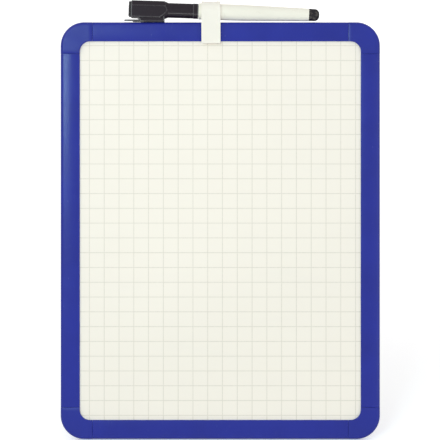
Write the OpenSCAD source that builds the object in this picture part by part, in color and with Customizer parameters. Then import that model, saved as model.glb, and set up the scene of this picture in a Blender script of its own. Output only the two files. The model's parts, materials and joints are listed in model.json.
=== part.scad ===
// Desk whiteboard easel: a framed steel writing board on a folding strut, with a capped marker held
// by a sliding clip on the top rail. Millimetres. +X is right, the writing face looks towards -Y,
// +Z is up, and the origin lies on the desk under the middle of the open easel.
// Pieces are drawn on an upright board whose middle plane is y = 0 and whose lower edge is z = 0,
// and board_pose() then leans the board back.

/* [Frame] */
// Outside width of the frame
board_w = 216; // [180:1:300]
// Outside height of the frame
board_h = 282; // [240:1:360]
// Thickness of the frame from front to back
frame_t = 7; // [6.6:0.1:8]
// Width of a rail, seen from the front
rail_w = 13; // [12:0.1:15]
// Radius of the frame's outer corners
corner_r = 16; // [14:0.5:18]
// Radius of the opening's corners
opening_r = 7; // [4:0.5:7.5]
// Length of a corner piece along each side
corner_len = 21.5; // [20.5:0.5:30]
// Rounding of the frame's outer edges
edge_r = 2.2; // [1.5:0.1:2.6]
// Rounding of the lips that hold the panel
lip_r = 0.6; // [0.3:0.1:0.9]
// Radius of the slight crown on the rails' front
crown_r = 60; // [40:1:120]
// How far the rails lie below the faces of the corner pieces
rail_sunk = 0.25; // [0.1:0.05:0.4]
// Gap at each seam between a rail and a corner piece
seam_gap = 0.1; // [0.05:0.05:0.3]
// Bevel on both sides of each seam
seam_bevel = 0.15; // [0.1:0.05:0.4]

/* [Panel] */
// Thickness of the painted steel writing sheet
sheet_t = 0.4; // [0.3:0.1:0.6]
// Thickness of the board behind the sheet
core_t = 2.8; // [2.4:0.1:3.2]
// Thickness of the back sheet
backing_t = 0.4; // [0.3:0.1:0.6]

/* [Stand] */
// Lean of the board back from upright, in degrees
lean = 16; // [12:1:20]
// Angle between the open strut and the board, in degrees
open_angle = 30; // [26:1:34]
// Height of the hinge pin above the board's lower edge
hinge_h = 165; // [150:1:175]
// Distance of the hinge pin behind the board's middle plane
hinge_y = 7; // [7:0.1:8]
// Diameter of the hinge pin
pin_d = 3; // [2.5:0.1:3.2]
// Width of the strut at the hinge
strut_head_w = 24; // [20:1:30]
// Width of the strut at its foot
strut_foot_w = 54; // [40:1:70]
// Thickness of the strut
strut_t = 3.6; // [3.2:0.1:3.8]

/* [Clip and marker] */
// Middle of the clip along the top rail, from the board's middle
clip_x = -6.3; // [-40:0.1:40]
// Height of the marker's axis above the top rail, at the clip
pen_h = 7.25; // [7:0.05:7.6]
// Fall of the marker towards its plug, in degrees
marker_tilt = 1.8; // [0:0.1:1.8]
// Width of the clip
clip_w = 12.8; // [10:0.1:16]
// Diameter of the marker's barrel at the clip
barrel_d = 11; // [10.6:0.1:11]
// Diameter of the barrel at its plug
barrel_end_d = 8.8; // [8.7:0.1:9.4]

/* [Hidden] */
$fn = 96;

over = 1;       // how far a cutter runs past the surface it cuts
run_gap = 0.05; // radial clearance of the hinge pin

frame_blue = [0.2, 0.23, 0.58];
steel_white = [0.98, 0.97, 0.93];
card_grey = [0.62, 0.6, 0.56];
clip_white = [0.96, 0.96, 0.92];
marker_white = [0.95, 0.94, 0.9];
cap_black = [0.17, 0.16, 0.17];
bare_steel = [0.72, 0.73, 0.75];
rubber_grey = [0.2, 0.2, 0.21];

// Frame
half_t = frame_t / 2;
rail_half = half_t - rail_sunk;
panel_t = sheet_t + core_t + backing_t;
groove_depth = 7.4; // from the outer edge to the floor of the panel groove
panel_gap = 0.2;    // play between the panel's edge and that floor
wall = 1.5;         // outer wall of a rail
chamber_t = 4.2;    // hollow of a rail, front to back
chamber_d = 4.4;    // hollow of a rail, outside to inside
tongue_gap = 0.1;   // play of a corner's tongue in that hollow
tongue_len = 16;
tongue_taper = 1;
fall_len = 2.4; // stretch over which a corner piece falls to the rail
fall_r = (pow(fall_len, 2) + pow(rail_sunk, 2)) / (2 * rail_sunk);
top_len = board_w - 2 * corner_len - 2 * seam_gap;
side_len = board_h - 2 * corner_len - 2 * seam_gap;
panel_edge = groove_depth + panel_gap;
panel_w = board_w - 2 * panel_edge;
panel_h = board_h - 2 * panel_edge;
panel_r = corner_r - panel_edge;

// Stand
strut_lean = open_angle - lean;
desk_lift = edge_r * (1 - cos(lean)) + (half_t - edge_r) * sin(lean);
hinge_up = hinge_h * cos(lean) - hinge_y * sin(lean) + desk_lift;
hinge_back = hinge_h * sin(lean) + hinge_y * cos(lean);
strut_reach = hinge_up / cos(strut_lean); // pin to desk, along the strut
foot_t = 6.4;                             // strut foot, front to back
front_y = (edge_r - half_t) * cos(lean) + edge_r * sin(lean) - edge_r;
back_y = hinge_back + strut_reach * sin(strut_lean) + foot_t / 2 / cos(strut_lean);
middle_y = (front_y + back_y) / 2;

plate_t = 1.2;
plate_w = 46;
plate_h = 30;
plate_y = panel_t / 2 + plate_t; // outer face of the bracket's plate
ear_t = 3;
ear_r = 4.2;
ear_gap = 0.3; // side play of the strut between the ears
ear_x = strut_head_w / 2 + ear_gap;
ear_foot = 8;  // half the length of an ear where it meets the plate
gusset_t = 1.6;
gusset_w = 5;
gusset_h = 1.3;
screw_x = 19.4;
screw_z = 9;
screw_d = 2.2;
screw_head_d = 5;
screw_head_h = 1.5;
screw_depth = 3.6;
pin_head_d = 4.6;
pin_head_h = 0.9;

knuckle_r = 3.4;
stop_gap = 0.15; // gap left at the heel when the strut stands open
heel = (hinge_y - plate_y - stop_gap - strut_t / 2 * cos(open_angle)) / sin(open_angle);
neck_len = 12;   // straight part of the strut below the pin
plate_end = strut_reach - 2.5;
foot_r = 5;
web_t = 1.4;
rib = 2.4;
bays = 4;
bay_r = 1.8;
shoe_h = 10;
shoe_wrap = 1.8;

// Clip, measured from the top rail's upper edge
clip_gap = 0.25;
strap_t = 1.3;
slot_half = rail_half + clip_gap;
strap_out = slot_half + strap_t;
loop_r = 7.2;
loop_bore = barrel_d / 2 + 0.3;
hook_in = 2.2;   // how near the panel's middle plane the hooks come
strap_end = rail_w + 1.5;
hook_top = rail_w + clip_gap;
foot_bar = 2;
band_w = 8.2;    // sunk band between the clip's two raised rims
band_deep = 0.3;
clip_edge_r = 1;

// Marker, measured along its axis from the clip's middle, positive towards the plug
cap_mouth = -8.6;
barrel_front = -8.4;
taper_start = 20;
ring_start = 64.6;
barrel_end = 66.3;
ring_r = 4.35;
front_bore = 4;
rear_bore = 3.3;
bore_start = 2;
plug_r = 3.85;
plug_len = 7.1;
plug_dome = 2;
spigot_r = 3.25;
spigot_len = 8;
flutes = 8;
flute_r = 0.8;
neck_r = 3.95;
neck_front = -24.6;
cone_front = -31;
cone_r = 2.9;
nose_front = -33.4;
nib_r = 1.9;
nib_tip = -39.2;
nib_tail = 3.5;
reservoir_r = 3.1;
reservoir_front = 0.5;
reservoir_end = 57;

// Cap
sleeve_r = 5;
rim_r = 5.15;
rim_len = 3.4;
cap_bore = 4.05;
cap_step = -26;
cap_inner = 3.8;
cap_floor = -47;
head_front = -28.9;
head_back = -53.9;
head_half_y = 5.4;
head_low = -5.6;
head_high = 6;
head_chamfer = 3.4;
head_r = 0.8;
shoulder_start = -35;
shoulder_r = 7.6;
pad_inset = 0.7;
pad_sunk = 1;
pad_end = -55.6;

// Block and arm under the cap's head, along the rail from the clip's middle and up from the rail
block_gap = 0.2;
block_top = 5; // inside the head
block_back = -45.8;
block_front = -31.5;
block_half_y = 4.3;
block_r = 0.8;
ramp_foot = -47.9;
ramp_run = 1.6; // run of the ramp for each unit of its rise
arm_low = 0.5;
arm_mid = 1.2;
arm_high = 1.8;
arm_step = -53.4;
arm_tip = -58.8;
arm_half_y = 2.7;
magnet_back = -44;
magnet_front = -33.5;
magnet_half_y = 3;
magnet_t = 1.8;

// Outlines and sweeps

function unit(v) = v / norm(v);

// Convex outline with every corner rounded to radius r
module rounded(points, r) {
    n = len(points);
    corners = [
        for (i = [0 : n - 1])
            let (
                p = points[i],
                back = unit(points[(i + n - 1) % n] - p),
                ahead = unit(points[(i + 1) % n] - p),
                half = acos(back * ahead) / 2
            )
            [p + back * r / tan(half), p + ahead * r / tan(half), p + unit(back + ahead) * r / sin(half)]
    ];
    polygon([for (c = corners) each [c[0], c[1]]]);
    for (c = corners) translate(c[2]) circle(r);
}

module rounded_plate(w, h, r) {
    rounded([[-w / 2, -h / 2], [w / 2, -h / 2], [w / 2, h / 2], [-w / 2, h / 2]], r);
}

// Waste outside a quarter round, at the corner of the quadrant where both coordinates are positive
module corner_waste(r) {
    difference() {
        translate([-over, -over]) square(r + over);
        translate([r, r]) circle(r);
    }
}

// A square region with one rounded corner, at the origin
module quadrant(size, r) {
    difference() {
        square(size);
        corner_waste(r);
    }
}

// Extrudes an outline drawn as [x, z] from one depth y to another
module slab(front, back) {
    translate([0, back, 0]) rotate([90, 0, 0]) linear_extrude(back - front) children();
}

// Extrudes a profile drawn as [y, z] from one place along x to another
module along_x(from, to) {
    translate([from, 0, 0]) rotate([90, 0, 90]) linear_extrude(to - from) children();
}

// Turns a profile drawn as [radius, x] about the x axis
module turned() {
    rotate([0, 90, 0]) rotate_extrude() children();
}

// Poses

module board_pose() {
    translate([0, -middle_y, desk_lift]) rotate([-lean, 0, 0]) children();
}

module strut_pose() {
    board_pose() translate([0, hinge_y, hinge_h]) rotate([open_angle, 0, 0]) children();
}

module clip_pose() {
    board_pose() translate([clip_x, 0, board_h]) children();
}

module marker_pose() {
    clip_pose() translate([0, 0, pen_h]) rotate([0, marker_tilt, 0]) children();
}

// Panel

module panel_outline() {
    translate([0, board_h / 2]) rounded_plate(panel_w, panel_h, panel_r);
}

module screw_places() {
    for (x = [-screw_x, screw_x], z = [-screw_z, screw_z]) translate([x, 0, hinge_h + z]) children();
}

// Bores along y for the bracket's screws
module screw_holes(front, back) {
    screw_places() slab(front, back) circle(d = screw_d);
}

module writing_sheet() {
    color(steel_white) board_pose() slab(-panel_t / 2, sheet_t - panel_t / 2) panel_outline();
}

module core_board() {
    color(card_grey) board_pose() difference() {
        slab(sheet_t - panel_t / 2, panel_t / 2 - backing_t) panel_outline();
        screw_holes(plate_y - screw_depth, panel_t / 2);
    }
}

module back_sheet() {
    color(card_grey) board_pose() difference() {
        slab(panel_t / 2 - backing_t, panel_t / 2) panel_outline();
        screw_holes(0, panel_t);
    }
}

// Frame: rail profiles are drawn as [y, depth], with depth 0 at the frame's outer edge

// Centre height of a rounding of radius r that meets the crown smoothly
function crown_centre(r) = crown_r - rail_half - sqrt(pow(crown_r - r, 2) - pow(rail_w / 2 - r, 2));

// Depth at which that rounding meets the crown
function crown_meet(r) = r - r * (rail_w / 2 - r) / (crown_r - r);

module crown_waste(r) {
    difference() {
        translate([-rail_half - over, -over])
            square([crown_centre(r) + rail_half + over, crown_meet(r) + over]);
        translate([crown_centre(r), r]) circle(r);
    }
}

module rail_profile() {
    difference() {
        intersection() {
            translate([-rail_half, 0]) square([2 * rail_half, rail_w]);
            translate([crown_r - rail_half, rail_w / 2]) circle(crown_r);
        }
        crown_waste(edge_r);
        translate([0, rail_w]) mirror([0, 1]) crown_waste(lip_r);
        translate([rail_half, 0]) mirror([1, 0]) corner_waste(edge_r);
        translate([rail_half, rail_w]) rotate(180) corner_waste(lip_r);
        translate([-panel_t / 2, groove_depth]) square([panel_t, rail_w]);
        translate([-chamber_t / 2, wall]) square([chamber_t, chamber_d]);
    }
}

// Bevels the front, back and outer edges of the end face at x, on a piece with its faces at -half and half
module seam_waste(x, half) {
    side = seam_bevel * sqrt(2);
    for (y = [-half, half])
        translate([x, y, rail_w / 2]) rotate([0, 0, 45]) cube([side, side, rail_w + 2 * over], center = true);
    translate([x, 0, 0]) rotate([0, 45, 0]) cube([side, frame_t + 2 * over, side], center = true);
}

module rail(length) {
    difference() {
        along_x(-length / 2, length / 2) rail_profile();
        for (x = [-length / 2, length / 2]) seam_waste(x, rail_half);
    }
}

// Places a rail on one side of the frame: 0 is the bottom, 90 the left, 180 the top, 270 the right
module framed(turn, half_span) {
    color(frame_blue) board_pose()
        translate([0, 0, board_h / 2]) rotate([0, turn, 0]) translate([0, 0, -half_span]) children();
}

module bottom_rail() framed(0, board_h / 2) rail(top_len);
module left_rail() framed(90, board_w / 2) rail(side_len);
module top_rail() framed(180, board_h / 2) rail(top_len);
module right_rail() framed(270, board_w / 2) rail(side_len);

// Runs a profile drawn as [y, depth] along both sides of a corner and round an arc of that centre
module round_corner(centre) {
    translate([centre, 0, centre]) rotate([90, 0, 180]) mirror([0, 1, 0])
        rotate_extrude(angle = 90) translate([centre, 0]) rotate(90) children();
    for (swap = [0, 1])
        mirror([swap, 0, -swap]) along_x(centre, corner_len + over) children();
}

module corner_tongue() {
    low = wall + tongue_gap;
    high = wall + chamber_d - tongue_gap;
    tip = corner_len + tongue_len;
    half_y = chamber_t / 2 - tongue_gap;
    slab(-half_y, half_y) polygon([
        [corner_len - over, low], [tip - tongue_taper, low], [tip, low + tongue_taper],
        [tip, high - tongue_taper], [tip - tongue_taper, high], [corner_len - over, high]
    ]);
}

// Lets the faces of a corner piece fall in an arc towards the rail
module fall_waste() {
    for (flip = [0, 1]) mirror([0, flip, 0])
        translate([corner_len - fall_len, -half_t, -over]) linear_extrude(rail_w + 2 * over) difference() {
            translate([0, -over]) square([fall_len + over, fall_r + over]);
            translate([0, fall_r]) circle(fall_r);
        }
}

module corner_piece() {
    difference() {
        union() {
            slab(-half_t, half_t) difference() {
                quadrant(corner_len, corner_r);
                translate([rail_w, rail_w]) quadrant(corner_len, opening_r);
            }
            for (swap = [0, 1]) mirror([swap, 0, -swap]) corner_tongue();
        }
        slab(-panel_t / 2, panel_t / 2)
            translate([groove_depth, groove_depth]) quadrant(corner_len, corner_r - groove_depth);
        round_corner(corner_r)
            for (flip = [0, 1]) mirror([flip, 0]) translate([-half_t, 0]) corner_waste(edge_r);
        round_corner(rail_w + opening_r)
            for (flip = [0, 1]) mirror([flip, 0])
                translate([-half_t, rail_w]) mirror([0, 1]) corner_waste(lip_r);
        for (swap = [0, 1]) mirror([swap, 0, -swap]) {
            fall_waste();
            seam_waste(corner_len, half_t - rail_sunk);
        }
    }
}

// Places a corner piece drawn for the lower left corner, turned as the rails are
module cornered(turn, x, z) {
    color(frame_blue) board_pose() translate([x, 0, z]) rotate([0, turn, 0]) corner_piece();
}

module corner_bottom_left() cornered(0, -board_w / 2, 0);
module corner_top_left() cornered(90, -board_w / 2, board_h);
module corner_top_right() cornered(180, board_w / 2, board_h);
module corner_bottom_right() cornered(270, board_w / 2, 0);

// Stand

module pin_bore(r) {
    along_x(-board_w / 4, board_w / 4) circle(r);
}

module ear() {
    along_x(ear_x, ear_x + ear_t) {
        polygon([
            [panel_t / 2, hinge_h - ear_foot], [hinge_y, hinge_h - ear_r],
            [hinge_y, hinge_h + ear_r], [panel_t / 2, hinge_h + ear_foot]
        ]);
        translate([hinge_y, hinge_h]) circle(ear_r);
    }
    translate([0, 0, hinge_h - gusset_t / 2]) linear_extrude(gusset_t) polygon([
        [ear_x + ear_t / 2, panel_t / 2], [ear_x + ear_t + gusset_w, panel_t / 2],
        [ear_x + ear_t + gusset_w, plate_y], [ear_x + ear_t, plate_y + gusset_h],
        [ear_x + ear_t / 2, plate_y + gusset_h]
    ]);
}

module hinge_bracket() {
    color(frame_blue) board_pose() difference() {
        union() {
            slab(panel_t / 2, plate_y) translate([0, hinge_h]) rounded_plate(plate_w, plate_h, foot_r);
            for (flip = [0, 1]) mirror([flip, 0, 0]) ear();
        }
        translate([0, hinge_y, hinge_h]) pin_bore(pin_d / 2);
        screw_holes(0, plate_y + over);
    }
}

// One pan head screw, its head outwards along +y from y = 0
module screw() {
    dome = (pow(screw_head_d / 2, 2) + pow(screw_head_h, 2)) / (2 * screw_head_h);
    rotate([-90, 0, 0]) rotate_extrude() {
        intersection() {
            square([screw_head_d / 2, screw_head_h]);
            translate([0, screw_head_h - dome]) circle(dome);
        }
        translate([0, -screw_depth]) square([screw_d / 2, screw_depth]);
    }
}

module bracket_screws() {
    color(bare_steel) board_pose() screw_places() translate([0, plate_y, 0]) screw();
}

module hinge_pin() {
    end = ear_x + ear_t;
    color(bare_steel) board_pose() translate([0, hinge_y, hinge_h]) {
        along_x(-end, end) circle(d = pin_d);
        along_x(end, end + pin_head_h) circle(d = pin_head_d);
        along_x(-end - pin_head_h, -end) circle(d = pin_head_d);
    }
}

// Half the strut's width at a height z below the pin
function strut_half(z) =
    strut_head_w / 2 + (strut_foot_w - strut_head_w) / 2 * (-z - neck_len) / (plate_end - neck_len);

module strut_outline() {
    translate([-strut_head_w / 2, -neck_len - over]) square([strut_head_w, neck_len + heel + over]);
    rounded([
        [-strut_head_w / 2, -neck_len], [-strut_half(-plate_end), -plate_end],
        [strut_half(-plate_end), -plate_end], [strut_head_w / 2, -neck_len]
    ], foot_r);
}

// One hollow between two cross ribs, on both faces of the strut
module strut_bay(top, bottom) {
    edge = rib * 1.2;
    for (flip = [0, 1]) mirror([0, flip, 0]) slab(web_t / 2, strut_t)
        rounded([
            [-strut_half(top) + edge, top], [-strut_half(bottom) + edge, bottom],
            [strut_half(bottom) - edge, bottom], [strut_half(top) - edge, top]
        ], bay_r);
}

module strut() {
    first = -neck_len - rib;
    last = -plate_end + shoe_h;
    pitch = (first - last + rib) / bays;
    color(frame_blue) strut_pose() difference() {
        union() {
            slab(-strut_t / 2, strut_t / 2) strut_outline();
            along_x(-strut_head_w / 2, strut_head_w / 2) circle(knuckle_r);
        }
        for (i = [0 : bays - 1]) strut_bay(first - i * pitch, first - (i + 1) * pitch + rib);
        pin_bore(pin_d / 2 + run_gap);
    }
}

module strut_foot() {
    color(rubber_grey) difference() {
        strut_pose() difference() {
            slab(-foot_t / 2, foot_t / 2)
                translate([0, -strut_reach])
                    rounded_plate(strut_foot_w + 2 * shoe_wrap, 2 * shoe_h, shoe_wrap);
            slab(-strut_t / 2, strut_t / 2) strut_outline();
        }
        // flat sole, where the strut meets the desk
        translate([-board_w / 2, -board_h, -board_h]) cube([board_w, 2 * board_h, board_h]);
    }
}

// Clip: its profile is drawn as [y, z] from the top rail's upper edge

// Point where a line from the foot of the clip touches the loop, for a surface this far under the outer one
function loop_touch(skin) =
    let (
        foot = [strap_out - skin, -strap_end - pen_h],
        turn = atan2(foot.y, foot.x) + acos((loop_r - skin) / norm(foot))
    )
    [0, pen_h] + (loop_r - skin) * [cos(turn), sin(turn)];

module clip_profile(skin) {
    touch = loop_touch(skin);
    foot = strap_out - skin;
    difference() {
        union() {
            translate([0, pen_h]) circle(loop_r - skin);
            polygon([[-foot, -strap_end], [foot, -strap_end], touch, [-touch.x, touch.y]]);
        }
        translate([-slot_half, -hook_top]) square([2 * slot_half, hook_top + clip_gap]);
        translate([-hook_in, -strap_end - over]) square([2 * hook_in, strap_end]);
    }
}

module pen_clip() {
    color(clip_white) difference() {
        clip_pose() intersection() {
            union() {
                along_x(-clip_w, clip_w) clip_profile(band_deep);
                for (flip = [0, 1]) mirror([flip, 0, 0]) along_x(band_w / 2, clip_w) clip_profile(0);
                along_x(-clip_w, clip_w) intersection() {
                    clip_profile(0);
                    translate([-loop_r, -strap_end]) square([2 * loop_r, foot_bar]);
                }
            }
            slab(-2 * loop_r, 2 * loop_r) translate([0, (pen_h + loop_r - strap_end) / 2])
                rounded_plate(clip_w, pen_h + loop_r + strap_end, clip_edge_r);
        }
        marker_pose() along_x(-clip_w, clip_w) circle(loop_bore);
    }
}

// Marker: turned profiles are drawn as [radius, x]

module marker_barrel() {
    color(marker_white) marker_pose() turned() polygon([
        [front_bore, barrel_front], [barrel_d / 2, barrel_front], [barrel_d / 2, taper_start],
        [barrel_end_d / 2, ring_start], [ring_r, ring_start], [ring_r, barrel_end], [rear_bore, barrel_end],
        [rear_bore, barrel_end - spigot_len - over], [front_bore, bore_start]
    ]);
}

module barrel_plug() {
    color(cap_black) marker_pose() difference() {
        turned() {
            translate([0, barrel_end - spigot_len]) square([spigot_r, spigot_len]);
            translate([0, barrel_end]) difference() {
                square([plug_r, plug_len]);
                translate([plug_r, plug_len]) rotate(180) corner_waste(plug_dome);
            }
        }
        for (i = [0 : flutes - 1]) rotate([(i + 0.5) * 360 / flutes, 0, 0])
            along_x(barrel_end + flute_r, barrel_end + plug_len)
                translate([0, plug_r + flute_r / 2]) circle(flute_r);
    }
}

module nib_holder() {
    color(cap_black) marker_pose() turned() polygon([
        [nib_r, nose_front], [cone_r - 0.5, nose_front], [cone_r, cone_front], [neck_r, neck_front],
        [neck_r, 0], [nib_r, 0]
    ]);
}

module marker_nib() {
    color(cap_black) marker_pose() turned() {
        translate([0, nib_tip + nib_r]) square([nib_r, nib_tail - nib_tip - nib_r]);
        intersection() {
            translate([0, nib_tip + nib_r]) circle(nib_r);
            translate([0, nib_tip]) square(2 * nib_r);
        }
    }
}

module ink_reservoir() {
    color(card_grey) marker_pose() turned() polygon([
        [nib_r, reservoir_front], [reservoir_r, reservoir_front], [reservoir_r, reservoir_end],
        [0, reservoir_end], [0, nib_tail], [nib_r, nib_tail]
    ]);
}

// Cap

module head_outline(inset, r) {
    y = head_half_y - inset;
    low = head_low + inset;
    high = head_high - inset;
    rounded([
        [-y, low], [y, low], [y, high - head_chamfer], [y - head_chamfer, high],
        [head_chamfer - y, high], [-y, high - head_chamfer]
    ], r);
}

module cap_head() {
    intersection() {
        along_x(head_back, head_front) head_outline(0, head_r);
        turned() polygon([
            [0, head_back], [shoulder_r - head_r, head_back], [shoulder_r, head_back + head_r],
            [shoulder_r, shoulder_start], [sleeve_r, head_front], [0, head_front]
        ]);
    }
}

module cap_block() {
    ramp_top = ramp_foot - ramp_run * (block_top - arm_high);
    intersection() {
        slab(-block_half_y, block_half_y) polygon([
            [block_back, block_gap], [block_front, block_gap], [block_front, block_top],
            [ramp_top, block_top], [ramp_foot, arm_high], [ramp_foot, arm_low], [block_back, arm_low]
        ]);
        along_x(ramp_top, block_front) rounded([
            [-block_half_y, block_gap], [block_half_y, block_gap],
            [block_half_y, 2 * block_top], [-block_half_y, 2 * block_top]
        ], block_r);
    }
}

module cap_arm() {
    intersection() {
        slab(-arm_half_y, arm_half_y) polygon([
            [arm_tip, arm_mid], [arm_step, arm_mid], [arm_step + arm_mid - arm_low, arm_low],
            [block_back, arm_low], [block_back, arm_high], [arm_tip, arm_high]
        ]);
        translate([(arm_tip + block_front) / 2, 0, 0]) linear_extrude(block_top)
            rounded_plate(block_front - arm_tip, 2 * arm_half_y, arm_half_y - 0.1);
    }
}

module magnet_box(depth) {
    translate([magnet_back, -magnet_half_y, block_gap + magnet_t - depth])
        cube([magnet_front - magnet_back, 2 * magnet_half_y, depth]);
}

module marker_cap() {
    color(cap_black) difference() {
        union() {
            marker_pose() {
                turned() translate([0, head_front - over]) square([sleeve_r, cap_mouth - head_front + over]);
                turned() translate([0, cap_mouth - rim_len]) square([rim_r, rim_len]);
                cap_head();
            }
            clip_pose() {
                cap_block();
                cap_arm();
            }
        }
        marker_pose() {
            turned() {
                translate([0, cap_step]) square([cap_bore, cap_mouth - cap_step + over]);
                translate([0, cap_floor]) square([cap_inner, cap_step - cap_floor]);
            }
            along_x(head_back - over, head_back + pad_sunk) head_outline(pad_inset, head_r);
        }
        clip_pose() magnet_box(magnet_t + over);
    }
}

module eraser_pad() {
    color(rubber_grey) marker_pose() along_x(pad_end, head_back + pad_sunk) head_outline(pad_inset, head_r);
}

module cap_magnet() {
    color(bare_steel) clip_pose() magnet_box(magnet_t);
}

writing_sheet();
core_board();
back_sheet();
top_rail();
bottom_rail();
left_rail();
right_rail();
corner_top_left();
corner_top_right();
corner_bottom_left();
corner_bottom_right();
hinge_bracket();
bracket_screws();
hinge_pin();
strut();
strut_foot();
pen_clip();
marker_barrel();
barrel_plug();
nib_holder();
marker_nib();
ink_reservoir();
marker_cap();
eraser_pad();
cap_magnet();
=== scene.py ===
"""Materials, printed grid, screws, end plug, floor, light and camera for the whiteboard easel. Metres."""

import itertools
import json
import math

import bmesh
import bpy
from mathutils import Matrix, Vector


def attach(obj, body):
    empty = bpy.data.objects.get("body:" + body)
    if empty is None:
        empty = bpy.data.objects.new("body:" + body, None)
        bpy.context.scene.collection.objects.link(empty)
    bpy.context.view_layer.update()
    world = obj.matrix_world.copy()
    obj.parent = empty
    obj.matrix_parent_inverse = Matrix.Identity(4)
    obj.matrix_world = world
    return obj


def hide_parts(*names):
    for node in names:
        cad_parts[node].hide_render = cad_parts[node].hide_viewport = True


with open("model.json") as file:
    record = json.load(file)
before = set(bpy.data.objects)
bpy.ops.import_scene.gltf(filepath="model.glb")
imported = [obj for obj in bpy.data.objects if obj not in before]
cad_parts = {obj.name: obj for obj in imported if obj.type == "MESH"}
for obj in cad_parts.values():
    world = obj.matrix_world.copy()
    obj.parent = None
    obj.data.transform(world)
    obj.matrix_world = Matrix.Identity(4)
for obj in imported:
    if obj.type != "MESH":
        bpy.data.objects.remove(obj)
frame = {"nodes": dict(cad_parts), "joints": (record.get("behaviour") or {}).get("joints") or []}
bpy.context.view_layer.update()

# Board frame, as the CAD draws it: x right, y from the writing face to the back, z up the board, with the
# origin at the middle of the frame's lower edge.
LEAN = math.radians(16)
HINGE = Vector((0, 0.007, 0.165))  # the hinge pin in that frame
BOARD_W = 0.216
BOARD_H = 0.282
RAIL_W = 0.013
OPENING_R = 0.007
PANEL_T = 0.0036
PLATE_T = 0.0012

# Printed grid
PITCH = 0.010
LINE_W = 0.0005
INK_T = 0.00002
LINES_ACROSS = 19
LINES_DOWN = 26
FIRST_X = -0.0885
FIRST_Z = 0.2661

# Bracket screws
SCREW_X = 0.0194
SCREW_Z = 0.009
HEAD_R = 0.0025
HEAD_H = 0.0015
SLOT_W = 0.0008
SLOT_L = 0.0030
SLOT_DEEP = 0.0007
SLOT_SIDE = 0.0001  # how wide the slope at the recess's sides is
SLOT_END = 0.0004  # and the slope at its ends
SHANK_L = 0.0036
SHANK_STEP_IN = 0.56  # how far the shank steps in under the head, as a share of the head's radius
LOWER_TURN = 0.3  # how far the lower screws are turned, in radians
UPPER_TURN = 1.0
TURN_ACROSS = 20  # and further for each metre across
SCREW_RINGS = 26
SCREW_SIDES = 72

# Marker's end plug, in a frame on the marker's axis with x towards the plug and its origin in the clip
CLIP_X = -0.0063
PEN_H = 0.00725
MARKER_TILT = math.radians(1.8)
BARREL_END = 0.0663
PLUG_R = 0.00415
PLUG_L = 0.0071
DOME_L = 0.0034
SPIGOT_R = 0.00325
SPIGOT_L = 0.008
PLUG_BEVEL = 0.0002
PLUG_SIDES = 112
STRAIGHT_STEPS = 8
DOME_STEPS = 20
DOME_POWER = 0.8  # 1 would be an ellipse, and less is fuller
LOBES = 7
LOBE_DEEP = 0.00016
LOBE_START = 0.0006
LOBE_RISE = 0.0016
SHARP_EDGE = math.radians(35)

# Camera: the photograph's frame is this wide at the writing face, and its middle lies here on the board
VIEW_W = 0.2976
VIEW_MIDDLE = Vector((-0.0002, -PANEL_T / 2, 0.1482))
LENS_MM = 150
SENSOR_MM = 36
FARTHEST_SEEN = 20

# Set
WORLD_LIGHT = 0.645
FLOOR_R = 4.0
FLOOR_SIDES = 96
FLOOR_DROP = 0.0002
FLOOR_GLOW = 0.42  # lifts the floor to the background's white without lighting the object
BOARD_MIDDLE = (0, 0, BOARD_H / 2)
CAP_MIDDLE = (-0.045, 0, BOARD_H + 0.009)
GLARE_MIDDLE = (-0.1, 0, 0.23)


def linear(*levels):
    """A colour written as 8-bit screen levels, as the shader's linear values."""
    return tuple(((v / 255 + 0.055) / 1.055) ** 2.4 if v > 10 else v / 255 / 12.92 for v in levels)


def joint(name):
    return next(j for j in frame["joints"] if j["name"] == name)


def board_matrix():
    turn = Matrix.Rotation(-LEAN, 4, "X")
    pin = Vector(joint("strut_hinge")["pos_m"])
    return Matrix.Translation(pin - turn @ HINGE) @ turn


BOARD = board_matrix()


# Shader nodes


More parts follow.
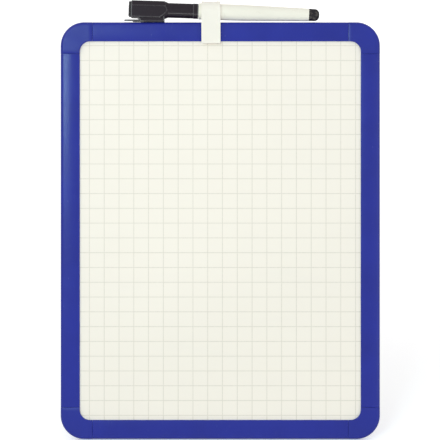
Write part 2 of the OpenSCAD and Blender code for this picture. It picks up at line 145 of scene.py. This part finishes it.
class Material:
    """A node material. add() makes a node and sets or links its inputs, and returns its first output."""

    def __init__(self, name):
        self.data = bpy.data.materials.new(name)
        self.data.use_nodes = True
        self.tree = self.data.node_tree
        self.shader = next(n for n in self.tree.nodes if n.type == "BSDF_PRINCIPLED")
        self.place = self.node("TexCoord").outputs["Object"]

    def node(self, kind, settings=(), **inputs):
        made = self.tree.nodes.new("ShaderNode" + kind)
        for key, value in dict(settings).items():
            setattr(made, key, value)
        for key, value in inputs.items():
            self.feed(made.inputs[key.replace("_", " ")], value)
        return made

    def add(self, kind, settings=(), **inputs):
        return self.node(kind, settings, **inputs).outputs[0]

    def feed(self, socket, value):
        if isinstance(value, bpy.types.NodeSocket):
            self.tree.links.new(value, socket)
        elif socket.type == "RGBA":
            socket.default_value = (*value, 1)
        else:
            socket.default_value = value

    def noise(self, size, detail=2.0, where=None, distortion=0.0):
        """Noise from 0 to 1 with features of this size in metres."""
        return self.add(
            "TexNoise",
            Vector=self.place if where is None else where,
            Scale=1 / size,
            Detail=detail,
            Distortion=distortion,
        )

    def stretched(self, turn, scale):
        """The place, turned and then scaled along each axis."""
        return self.add("Mapping", Vector=self.place, Rotation=turn, Scale=scale)

    def span(self, value, low, high, to_low, to_high):
        """value from low..high, moved to to_low..to_high and clamped there."""
        made = self.node("MapRange")
        for key, number in (
            ("Value", value),
            ("From Min", low),
            ("From Max", high),
            ("To Min", to_low),
            ("To Max", to_high),
        ):
            self.feed(made.inputs[key], number)
        return made.outputs[0]

    def sum(self, first, second, how="ADD"):
        made = self.node("Math", {"operation": how})
        self.feed(made.inputs[0], first)
        self.feed(made.inputs[1], second)
        return made.outputs[0]

    def mix(self, factor, first, second):
        made = self.node("Mix", {"data_type": "RGBA"})
        self.feed(made.inputs["Factor"], factor)
        self.feed(made.inputs[6], first)
        self.feed(made.inputs[7], second)
        return made.outputs[2]

    def shade(self, colour, spread, size):
        """colour, darker and lighter by spread over patches of this size."""
        darker = [c * (1 - spread) for c in colour]
        lighter = [min(1, c * (1 + spread)) for c in colour]
        return self.mix(self.span(self.noise(size, 3), 0.3, 0.7, 0, 1), darker, lighter)

    def edges(self, width):
        """1 on the edges of the piece and 0 on its faces."""
        rounded = self.node("Bevel", {"samples": 6}, Radius=width).outputs[0]
        flat = self.node("NewGeometry").outputs["Normal"]
        dot = self.node("VectorMath", {"operation": "DOT_PRODUCT"})
        self.feed(dot.inputs[0], rounded)
        self.feed(dot.inputs[1], flat)
        return self.span(dot.outputs["Value"], 0.98, 0.80, 0, 1)

    def ridges(self, reach):
        """1 along outer roundings tighter than about this reach in metres, and 0 on flat faces."""
        settings = {"inside": True, "only_local": True, "samples": 16}
        inside = self.node("AmbientOcclusion", settings, Distance=reach)
        return self.span(inside.outputs["AO"], 0.97, 0.86, 0, 1)

    def bump(self, height, depth, normal=None):
        """A bump of this depth in metres, over any earlier one."""
        inputs = {"Height": height, "Distance": depth, "Strength": 1.0}
        if normal is not None:
            inputs["Normal"] = normal
        return self.add("Bump", **inputs)

    def finish(self, **sockets):
        for key, value in sockets.items():
            self.feed(self.shader.inputs[key.replace("_", " ")], value)
        return self.data


def moulded_plastic(
    name, colour, roughness, shine, grain=0.00025, wear_and_highlight=0.25, drift=0.07, rounding=0.0004, ridged=False,
    steady=0.0, **sockets,
):
    """Injection moulded plastic: slow tone drift, a fine eroded texture, hairline rubs, and edges made
    lighter, which is rubbing on most plastics and a painted highlight on the black ones.

    ridged finds the edges by their tight outer roundings, and steady is the share of the lighter edge that
    shows between its patches, which for the black plastics makes the painted highlight run unbroken.
    """
    m = Material(name)
    body = m.shade(colour, drift, 0.022)
    rubs = m.noise(0.0012, 4, m.stretched((0.3, 0.5, 0.4), (1, 0.06, 0.35)))
    rub_mask = m.span(rubs, 0.62, 0.72, 0, 0.5)
    patches = m.span(m.noise(0.003, 3), 0.42, 0.6, wear_and_highlight * steady, wear_and_highlight)
    rims = m.ridges(rounding) if ridged else m.edges(rounding)
    # Edges made lighter: rubbing on the blue and white plastics, and a painted highlight along the tight
    # roundings of the black ones.
    worn_and_highlit = m.sum(rims, patches, "MULTIPLY")
    light = [c + (1 - c) * 0.16 for c in colour]
    tone = m.mix(m.sum(worn_and_highlit, m.sum(rub_mask, 0.05, "MULTIPLY")), body, light)
    rough = m.span(m.noise(0.007, 3), 0.3, 0.7, roughness - 0.04, roughness + 0.04)
    rough = m.sum(rough, m.sum(rub_mask, 0.06, "MULTIPLY"))
    grains = m.bump(m.noise(grain, 2), 0.000004)
    skin = m.bump(m.noise(0.009, 2), 0.00002, grains)
    return m.finish(Base_Color=tone, Roughness=rough, Normal=skin, Specular_IOR_Level=shine, **sockets)


def black_plastic(name, polish, grain):
    """Black moulded plastic, whose shine lies in a thin coat so that its rims stay dark at grazing angles;
    its tight rounded edges are painted lighter as highlight lines, with a little rubbing.
    """
    black = (0.016, 0.0098, 0.016)
    return moulded_plastic(
        name, black, 0.45, 0.0, grain=grain, wear_and_highlight=0.85, rounding=0.0007, ridged=True, steady=0.7,
        Coat_Weight=0.15, Coat_IOR=2.1, Coat_Roughness=polish,
    )


def scuffed_black_with_sheen():
    """The end plug's black plastic, lighter in soft patches that are painted sheen as well as rougher
    scuffed places.
    """
    m = Material("plug_scuffed_sheen")
    # Painted sheen: the lighter, rougher patches stand in for glossy highlights on the plug as well as for
    # scuffing.
    scuffs_and_sheen = m.span(m.noise(0.0024, 3), 0.47, 0.62, 0, 1)
    tone = m.mix(scuffs_and_sheen, (0.012, 0.009, 0.012), (0.075, 0.066, 0.058))
    rough = m.span(scuffs_and_sheen, 0, 1, 0.35, 0.6)
    grains = m.bump(m.noise(0.0009, 2), 0.00001)
    return m.finish(
        Base_Color=tone, Roughness=rough, Normal=grains, Specular_IOR_Level=0.0,
        Coat_Weight=0.15, Coat_IOR=2.1, Coat_Roughness=0.2,
    )


def enamel():
    """The writing face: warm white baked enamel with faint wiped traces and a slight orange peel."""
    m = Material("writing_enamel")
    colour = linear(251, 242, 230)
    body = m.shade(colour, 0.006, 0.06)
    wipes = m.noise(0.012, 4, m.stretched((0, 0.5, 0), (0.25, 1, 1)), 0.6)
    traces = m.span(wipes, 0.58, 0.75, 0, 0.025)
    tone = m.mix(traces, body, linear(190, 192, 200))
    rough = m.sum(m.span(m.noise(0.02, 3), 0.3, 0.7, 0.30, 0.36), m.sum(traces, 3.0, "MULTIPLY"))
    peel = m.bump(m.noise(0.0015, 2), 0.000003)
    return m.finish(Base_Color=tone, Roughness=rough, Normal=peel, Specular_IOR_Level=0.04)


def grid_ink():
    """Screen-printed ink of the grid, thinner in places."""
    m = Material("grid_ink")
    thin = m.span(m.noise(0.0009, 3), 0.35, 0.75, 0, 0.35)
    tone = m.mix(thin, linear(227, 218, 204), linear(251, 243, 230))
    rough = m.span(m.noise(0.004, 2), 0.3, 0.7, 0.42, 0.52)
    return m.finish(Base_Color=tone, Roughness=rough, Normal=m.bump(thin, 0.000004), Specular_IOR_Level=0.2)


def card(name, colour, fibre):
    """Pressed card or hardboard: matt, with fibres of this colour lying in all directions."""
    m = Material(name)
    body = m.shade(colour, 0.05, 0.03)
    across = m.noise(0.0008, 4, m.stretched((0, 0.7, 0.2), (0.12, 1, 1)))
    along = m.noise(0.0008, 4, m.stretched((0, -0.6, 0.1), (1, 1, 0.12)))
    fibres = m.sum(m.span(across, 0.62, 0.7, 0, 0.5), m.span(along, 0.62, 0.7, 0, 0.5))
    tone = m.mix(fibres, body, fibre)
    rough = m.span(m.noise(0.004, 3), 0.3, 0.7, 0.82, 0.94)
    nap = m.bump(fibres, 0.00003, m.bump(m.noise(0.0004, 3), 0.00002))
    return m.finish(Base_Color=tone, Roughness=rough, Normal=nap, Specular_IOR_Level=0.3)


def zinc(name, colour, roughness):
    """Zinc-plated steel: a mottled bright plate with drawn marks and duller edges."""
    m = Material(name)
    body = m.shade(colour, 0.08, 0.0012)
    tone = m.mix(m.sum(m.edges(0.00015), 0.5, "MULTIPLY"), body, [c * 0.6 for c in colour])
    marks = m.noise(0.0003, 3, m.stretched((0, 0, 0), (0.1, 1, 1)))
    rough = m.span(marks, 0.3, 0.7, roughness - 0.06, roughness + 0.08)
    return m.finish(Base_Color=tone, Roughness=rough, Normal=m.bump(marks, 0.000004), Metallic=1.0)


def rubber():
    """Moulded rubber of the strut's shoe, with a bloom on it and fine grip lines."""
    m = Material("shoe_rubber")
    body = m.shade(linear(38, 38, 40), 0.15, 0.006)
    dust = m.span(m.noise(0.0015, 4), 0.5, 0.75, 0, 0.3)
    tone = m.mix(dust, body, linear(92, 90, 88))
    lines = m.node("TexWave", {"bands_direction": "Z"}, Vector=m.place, Scale=160.0).outputs["Fac"]
    relief = m.bump(lines, 0.00008, m.bump(m.noise(0.0005, 3), 0.00003))
    rough = m.span(dust, 0, 0.3, 0.72, 0.9)
    return m.finish(Base_Color=tone, Roughness=rough, Normal=relief, Specular_IOR_Level=0.3)


def felt(name, colour, light):
    """Pressed felt or a fibre tip: short fibres in all directions over a dark ground."""
    m = Material(name)
    fibres = m.noise(0.00022, 4, m.stretched((0.4, 0.6, 0.2), (0.35, 1, 1)), 1.2)
    tufts = m.noise(0.0009, 3)
    tone = m.mix(m.span(fibres, 0.45, 0.75, 0, 1), colour, light)
    nap = m.bump(fibres, 0.00008, m.bump(tufts, 0.00015))
    rough = m.span(tufts, 0.3, 0.7, 0.9, 1.0)
    return m.finish(
        Base_Color=tone, Roughness=rough, Normal=nap, Specular_IOR_Level=0.1,
        Sheen_Weight=0.3, Sheen_Roughness=0.5,
    )


def ferrite():
    """Sintered ferrite: dark, gritty, with small pits and paler rubbed edges."""
    m = Material("ferrite")
    body = m.shade(linear(74, 74, 78), 0.15, 0.0015)
    pits = m.span(m.noise(0.0003, 3), 0.3, 0.42, 1, 0)
    tone = m.mix(m.sum(m.edges(0.0002), 0.5, "MULTIPLY"), body, linear(120, 120, 124))
    rough = m.span(pits, 0, 1, 0.5, 0.75)
    relief = m.bump(m.sum(1.0, pits, "SUBTRACT"), 0.00002)
    return m.finish(Base_Color=tone, Roughness=rough, Normal=relief, Metallic=0.3)


def paint(material, *nodes):
    for name in nodes:
        for place in frame["nodes"][name].material_slots:
            place.material = material


def paint_frame():
    blue = (0.013, 0.023, 0.283)
    corner_blue = [c * 0.96 for c in blue]
    paint(
        moulded_plastic("frame_rail_blue", blue, 0.22, 0.27, wear_and_highlight=0.1),
        "top_rail", "bottom_rail", "left_rail", "right_rail",
    )
    paint(
        moulded_plastic("frame_corner_blue", corner_blue, 0.32, 0.28, wear_and_highlight=0.1),
        "corner_top_left", "corner_top_right", "corner_bottom_left", "corner_bottom_right",
    )
    paint(moulded_plastic("stand_blue", blue, 0.38, 0.27, grain=0.0004), "strut", "hinge_bracket")


def paint_panel():
    paint(enamel(), "writing_sheet")
    paint(card("hardboard", linear(150, 118, 82), linear(112, 82, 52)), "core_board")
    paint(card("back_card", linear(168, 166, 160), linear(128, 124, 116)), "back_sheet")


def paint_small_parts():
    white = linear(245, 239, 225)
    milky = linear(249, 241, 230)
    paint(zinc("zinc_pin", (0.62, 0.63, 0.66), 0.3), "hinge_pin", "bracket_screws")
    paint(rubber(), "strut_foot")
    clip = moulded_plastic(
        "clip_milky", milky, 0.36, 0.3, wear_and_highlight=0.1, drift=0.012, Subsurface_Weight=0.2,
        Subsurface_Radius=(1, 1, 1), Subsurface_Scale=0.0008,
    )
    paint(clip, "pen_clip")
    barrel = moulded_plastic("barrel_white", white, 0.3, 0.3, grain=0.0006, wear_and_highlight=0.1, drift=0.012)
    paint(barrel, "marker_barrel")
    paint(black_plastic("marker_black", 0.14, 0.0005), "marker_cap")
    paint(black_plastic("plug_black", 0.3, 0.0003), "barrel_plug", "nib_holder")
    paint(felt("eraser_felt", linear(40, 38, 40), linear(96, 93, 96)), "eraser_pad")
    paint(felt("nib_fibre", linear(16, 15, 18), linear(44, 42, 46)), "marker_nib")
    paint(felt("reservoir_fibre", linear(120, 118, 122), linear(205, 203, 205)), "ink_reservoir")
    paint(ferrite(), "cap_magnet")


# Pieces made here


def make_piece(name, mesh, body, material, place=BOARD):
    """A piece from a bmesh drawn in the board frame, riding on a body."""
    data = bpy.data.meshes.new(name)
    bmesh.ops.recalc_face_normals(mesh, faces=mesh.faces)
    mesh.transform(place)
    mesh.to_mesh(data)
    mesh.free()
    data.materials.append(material)
    piece = bpy.data.objects.new(name, data)
    bpy.context.collection.objects.link(piece)
    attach(piece, body)
    return piece


def add_box(mesh, low, high):
    corners = [mesh.verts.new(place) for place in itertools.product(*zip(low, high))]
    for face in ((0, 1, 3, 2), (4, 6, 7, 5), (0, 4, 5, 1), (2, 3, 7, 6), (0, 2, 6, 4), (1, 5, 7, 3)):
        mesh.faces.new([corners[i] for i in face])


def corner_cut(gap):
    """How much the opening's rounded corner shortens a line that runs at this gap from its edge."""
    if gap >= OPENING_R:
        return 0
    return OPENING_R - math.sqrt(OPENING_R**2 - (OPENING_R - gap) ** 2)


def printed_grid():
    """The faint square grid on the writing face, as raised ink.

    The lines across are whole, and those down are pieces between them.
    """
    mesh = bmesh.new()
    half_w = BOARD_W / 2 - RAIL_W
    bottom = RAIL_W
    top = BOARD_H - RAIL_W
    face = -PANEL_T / 2
    half_line = LINE_W / 2
    rows = [FIRST_Z - i * PITCH for i in range(LINES_DOWN)]
    columns = [FIRST_X + i * PITCH for i in range(LINES_ACROSS)]
    for z in rows:
        reach = half_w - corner_cut(min(top - z, z - bottom))
        add_box(mesh, (-reach, face - INK_T, z - half_line), (reach, face, z + half_line))
    for x in columns:
        cut = corner_cut(half_w - abs(x))
        stops = [top - cut, *(z + side for z in rows for side in (half_line, -half_line)), bottom + cut]
        for high, low in zip(stops[::2], stops[1::2]):
            add_box(mesh, (x - half_line, face - INK_T, low), (x + half_line, face, high))
    return make_piece("printed_grid", mesh, "board", grid_ink())


def screw_height(x, z):
    """Height of a pan head with a cross recess above the plate, at a place on the head."""
    dome = (HEAD_R**2 + HEAD_H**2) / (2 * HEAD_H)
    height = HEAD_H - dome + math.sqrt(dome**2 - x * x - z * z)
    arm = min(abs(x), abs(z))
    along = max(abs(x), abs(z))
    if arm < SLOT_W / 2 and along < SLOT_L / 2:
        side = min(1, (SLOT_W / 2 - arm) / SLOT_SIDE)
        end = min(1, (SLOT_L / 2 - along) / SLOT_END)
        height -= SLOT_DEEP * side * end
    return height


def screw_heads():
    """Four cross-recess pan heads with their shanks, in place of the plain CAD screws."""
    mesh = bmesh.new()
    for x0 in (-SCREW_X, SCREW_X):
        for z0, turn in ((HINGE.z - SCREW_Z, LOWER_TURN), (HINGE.z + SCREW_Z, UPPER_TURN)):
            add_screw(mesh, Vector((x0, PANEL_T / 2 + PLATE_T, z0)), turn + x0 * TURN_ACROSS)
    steel = zinc("zinc_screw", (0.6, 0.61, 0.64), 0.32)
    piece = make_piece("cross_screws", mesh, "board", steel)
    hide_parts("bracket_screws")
    return piece


def add_screw(mesh, seat, turn):
    """One pan head with its underside at seat and its cross turned by this much, and its shank."""
    centre = mesh.verts.new(seat + Vector((0, screw_height(0, 0), 0)))
    last = None
    for ring in range(1, SCREW_RINGS + 1):
        r = HEAD_R * ring / SCREW_RINGS
        loop = []
        for side in range(SCREW_SIDES):
            a = 2 * math.pi * side / SCREW_SIDES
            x, z = r * math.cos(a), r * math.sin(a)
            turned_x = x * math.cos(turn) - z * math.sin(turn)
            turned_z = x * math.sin(turn) + z * math.cos(turn)
            loop.append(mesh.verts.new(seat + Vector((turned_x, screw_height(x, z), turned_z))))
        join_loops(mesh, last, loop, centre)
        last = loop
    shank = [mesh.verts.new(Vector((v.co.x, seat.y, v.co.z)).lerp(seat, SHANK_STEP_IN)) for v in last]
    tip = [mesh.verts.new(v.co - Vector((0, SHANK_L, 0))) for v in shank]
    join_loops(mesh, last, shank, None)
    join_loops(mesh, shank, tip, None)
    mesh.faces.new(tip)


def plug_profile():
    """(x, radius) points of the plug: a spigot in the barrel, a short straight part and a full dome."""
    points = [(-SPIGOT_L, 0), (-SPIGOT_L, SPIGOT_R), (0, SPIGOT_R), (0, PLUG_R - PLUG_BEVEL)]
    points.append((PLUG_BEVEL, PLUG_R))
    straight = PLUG_L - DOME_L
    for i in range(1, STRAIGHT_STEPS + 1):
        points.append((PLUG_BEVEL + (straight - PLUG_BEVEL) * i / STRAIGHT_STEPS, PLUG_R))
    for i in range(1, DOME_STEPS):
        turn = math.pi / 2 * i / DOME_STEPS
        points.append((straight + DOME_L * math.sin(turn), PLUG_R * math.cos(turn) ** DOME_POWER))
    return points + [(PLUG_L, 0)]


def lobe_depth(x, a):
    """How deep the plug's soft flutes are at this place along it and around it."""
    rise = min(1, max(0, (x - LOBE_START) / LOBE_RISE))
    fall = min(1, max(0, (PLUG_L - x) / DOME_L))
    return LOBE_DEEP * rise * fall * (1 + math.cos(LOBES * a)) / 2


def domed_plug():
    """The plug that closes the barrel, with a fuller dome and softer flutes than the CAD one."""
    mesh = bmesh.new()
    profile = plug_profile()
    first, tip = (mesh.verts.new((x, 0, 0)) for x, _ in (profile[0], profile[-1]))
    last = None
    for x, r in profile[1:-1]:
        loop = []
        for side in range(PLUG_SIDES):
            a = 2 * math.pi * side / PLUG_SIDES
            reach = r - lobe_depth(x, a)
            loop.append(mesh.verts.new((x, reach * math.cos(a), reach * math.sin(a))))
        join_loops(mesh, last, loop, first)
        last = loop
    join_loops(mesh, None, last, tip)
    soften(mesh)
    axis = Matrix.Translation((CLIP_X, 0, BOARD_H + PEN_H)) @ Matrix.Rotation(MARKER_TILT, 4, "Y")
    place = BOARD @ axis @ Matrix.Translation((BARREL_END, 0, 0))
    piece = make_piece("domed_plug", mesh, "marker", scuffed_black_with_sheen(), place)
    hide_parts("barrel_plug")
    return piece


def soften(mesh):
    """Smooth shading, broken at sharp edges."""
    bmesh.ops.recalc_face_normals(mesh, faces=mesh.faces)
    for face in mesh.faces:
        face.smooth = True
    for edge in mesh.edges:
        edge.smooth = edge.calc_face_angle(0) < SHARP_EDGE


def join_loops(mesh, inner, outer, centre):
    """Faces from one loop of vertices to the next, or from the centre where there is no inner loop."""
    for i in range(len(outer)):
        j = (i + 1) % len(outer)
        if inner is None:
            mesh.faces.new((centre, outer[i], outer[j]))
        else:
            mesh.faces.new((inner[i], outer[i], outer[j], inner[j]))


# Set


def direct_rays(tree):
    """1 for what is seen by the camera, in a reflection or through glass, and 0 for light on the object."""
    path = tree.nodes.new("ShaderNodeLightPath")
    total = path.outputs["Is Camera Ray"]
    for kind in ("Is Glossy Ray", "Is Transmission Ray"):
        added = tree.nodes.new("ShaderNodeMath")
        added.use_clamp = True
        tree.links.new(total, added.inputs[0])
        tree.links.new(path.outputs[kind], added.inputs[1])
        total = added.outputs[0]
    return total


def background(tree, strength):
    made = tree.nodes.new("ShaderNodeBackground")
    made.inputs["Color"].default_value = (1, 1, 1, 1)
    made.inputs["Strength"].default_value = strength
    return made.outputs[0]


def world_light():
    """Even white light, with a plain white background for the camera and in reflections."""
    world = bpy.data.worlds.new("studio")
    bpy.context.scene.world = world
    world.use_nodes = True
    tree = world.node_tree
    tree.nodes.clear()
    mix = tree.nodes.new("ShaderNodeMixShader")
    tree.links.new(direct_rays(tree), mix.inputs[0])
    tree.links.new(background(tree, WORLD_LIGHT), mix.inputs[1])
    tree.links.new(background(tree, 1.0), mix.inputs[2])
    out = tree.nodes.new("ShaderNodeOutputWorld")
    tree.links.new(mix.outputs[0], out.inputs["Surface"])


def floor():
    """A plain pale floor that keeps the object's soft shadow."""
    mesh = bmesh.new()
    bmesh.ops.create_circle(mesh, cap_ends=True, radius=FLOOR_R, segments=FLOOR_SIDES)
    data = bpy.data.meshes.new("floor")
    mesh.to_mesh(data)
    mesh.free()
    m = Material("pale_floor")
    tone = m.shade((0.86, 0.86, 0.86), 0.01, 0.2)
    diffuse = m.node("BsdfDiffuse", Color=tone).outputs[0]
    glow = m.node("Emission", Color=(1, 1, 1)).outputs[0]
    m.feed(glow.node.inputs["Strength"], m.sum(direct_rays(m.tree), FLOOR_GLOW, "MULTIPLY"))
    both = m.node("AddShader")
    m.feed(both.inputs[0], diffuse)
    m.feed(both.inputs[1], glow)
    out = next(n for n in m.tree.nodes if n.type == "OUTPUT_MATERIAL")
    m.tree.nodes.remove(m.shader)
    m.tree.links.new(both.outputs[0], out.inputs["Surface"])
    data.materials.append(m.data)
    piece = bpy.data.objects.new("floor", data)
    piece.location.z = -FLOOR_DROP
    bpy.context.collection.objects.link(piece)


def softbox(name, place, target, width, height, watts, spread=180, colour=(1, 1, 1)):
    """A rectangular area lamp at a place in the board frame, aimed at another place there."""
    data = bpy.data.lights.new(name, "AREA")
    data.shape = "RECTANGLE"
    data.size = width
    data.size_y = height
    data.energy = watts
    data.color = colour
    data.spread = math.radians(spread)
    lamp = bpy.data.objects.new(name, data)
    start = BOARD @ Vector(place)
    aim = BOARD @ Vector(target)
    lamp.location = start
    lamp.rotation_euler = (aim - start).to_track_quat("-Z", "Y").to_euler()
    lamp.visible_camera = False
    bpy.context.collection.objects.link(lamp)


def lights():
    world_light()
    softbox(
        "key", place=(-1.1, -1.5, 1.5), target=BOARD_MIDDLE,
        width=1.5, height=1.5, watts=6.5, colour=(1, 0.91, 0.86),
    )
    softbox("fill", place=(1.3, -1.6, 0.2), target=BOARD_MIDDLE, width=1.8, height=0.9, watts=4)
    softbox("rear", place=(0.4, 1.8, 1.1), target=BOARD_MIDDLE, width=1.2, height=1.2, watts=5)
    softbox(
        "rail_glare", place=(-0.57, -1.8, 0.51), target=GLARE_MIDDLE,
        width=0.52, height=0.42, watts=8.2, colour=(0.62, 0.95, 1),
    )
    softbox(
        "cap_band", place=(-0.053, -0.26, -0.03), target=CAP_MIDDLE,
        width=0.05, height=0.05, watts=0.007, spread=60,
    )


def camera():
    """A long lens square on to the writing face, framed as the photograph is."""
    data = bpy.data.cameras.new("camera")
    data.lens = LENS_MM
    data.sensor_width = SENSOR_MM
    data.clip_end = FARTHEST_SEEN
    piece = bpy.data.objects.new("camera", data)
    distance = VIEW_W * LENS_MM / SENSOR_MM
    stand = Matrix.Translation(VIEW_MIDDLE - Vector((0, distance, 0)))
    piece.matrix_world = BOARD @ stand @ Matrix.Rotation(math.radians(90), 4, "X")
    bpy.context.collection.objects.link(piece)
    bpy.context.scene.camera = piece


def write_sizes():
    """Brings every transform in the scene up to date."""
    bpy.context.view_layer.update()


bpy.context.scene.view_settings.view_transform = "Standard"
paint_frame()
paint_panel()
paint_small_parts()
printed_grid()
screw_heads()
domed_plug()
floor()
lights()
camera()
write_sizes()
